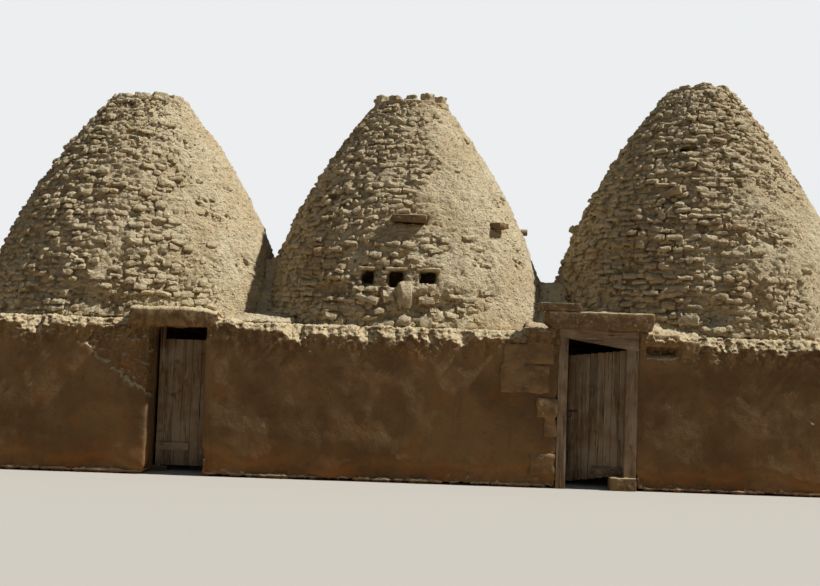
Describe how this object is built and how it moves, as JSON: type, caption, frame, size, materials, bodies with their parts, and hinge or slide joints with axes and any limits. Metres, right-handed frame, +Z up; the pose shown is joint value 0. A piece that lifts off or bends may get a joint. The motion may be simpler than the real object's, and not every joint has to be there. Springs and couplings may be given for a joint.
{
  "type": "beehive adobe house",
  "caption": "Row of domed mud-brick rooms behind one plastered wall, with timber plank doors that turn on pivot posts.",
  "frame": {"origin": "on the ground at the middle of the footprint", "axes": "+X along the row of domes, +Y from the front wall to the back wall, +Z up"},
  "size_m": [12.72, 4.66, 5.7197],
  "materials": {
    "mud_plaster": "rough mud plaster",
    "mud_brick": "rough mud over sun-dried brick",
    "field_stone": "rough dressed stone",
    "weathered_wood": "dry weathered timber",
    "rusty_iron": "rusty"
  },
  "bodies": {
    "house": {"front_wall_left": "mud_plaster", "front_wall_middle": "mud_plaster", "door_pillar": "field_stone", "front_wall_right": "mud_plaster", "back_wall": "mud_plaster", "left_party_wall": "mud_plaster", "right_party_wall": "mud_plaster", "left_cross_wall": "mud_plaster", "right_cross_wall": "mud_plaster", "left_roof_deck": "mud_plaster", "middle_roof_deck": "mud_plaster", "right_roof_deck": "mud_plaster", "left_valley_saddle": "mud_plaster", "right_valley_saddle": "mud_plaster", "corner_corbels": "field_stone", "left_dome_lower_courses": "mud_brick", "left_dome_middle_courses": "mud_brick", "left_dome_upper_courses": "mud_brick", "left_dome_crown": "mud_brick", "middle_dome_lower_courses": "mud_brick", "middle_dome_middle_courses": "mud_brick", "middle_dome_upper_courses": "mud_brick", "middle_dome_crown": "mud_brick", "right_dome_lower_courses": "mud_brick", "right_dome_middle_courses": "mud_brick", "right_dome_upper_courses": "mud_brick", "right_dome_crown": "mud_brick", "vent_lintels": "field_stone", "hood_slab": "field_stone", "projecting_stone": "field_stone", "projecting_log": "weathered_wood", "left_lintel": "field_stone", "right_lintel": "field_stone", "capping_slab": "field_stone", "frame_head": "weathered_wood", "frame_posts": "weathered_wood", "post_stone": "field_stone", "socket_stones": "field_stone"},
    "left_door": {"left_door_planks": "weathered_wood", "left_door_battens": "weathered_wood", "left_door_post": "weathered_wood"},
    "right_door": {"right_door_planks": "weathered_wood", "right_door_battens": "weathered_wood", "right_door_post": "weathered_wood", "right_door_hasp": "rusty_iron"}
  },
  "joints": [
    {"name": "left_door_hinge", "type": "hinge", "parent": "house", "child": "left_door", "pos_m": [-3.316, -1.84, 0.06], "axis": [0, 0, 1], "range_deg": [0, 85]},
    {"name": "right_door_hinge", "type": "hinge", "parent": "house", "child": "right_door", "pos_m": [2.646, -2.098, 0.06], "axis": [0, 0, -1], "range_deg": [-22, 66]}
  ]
}
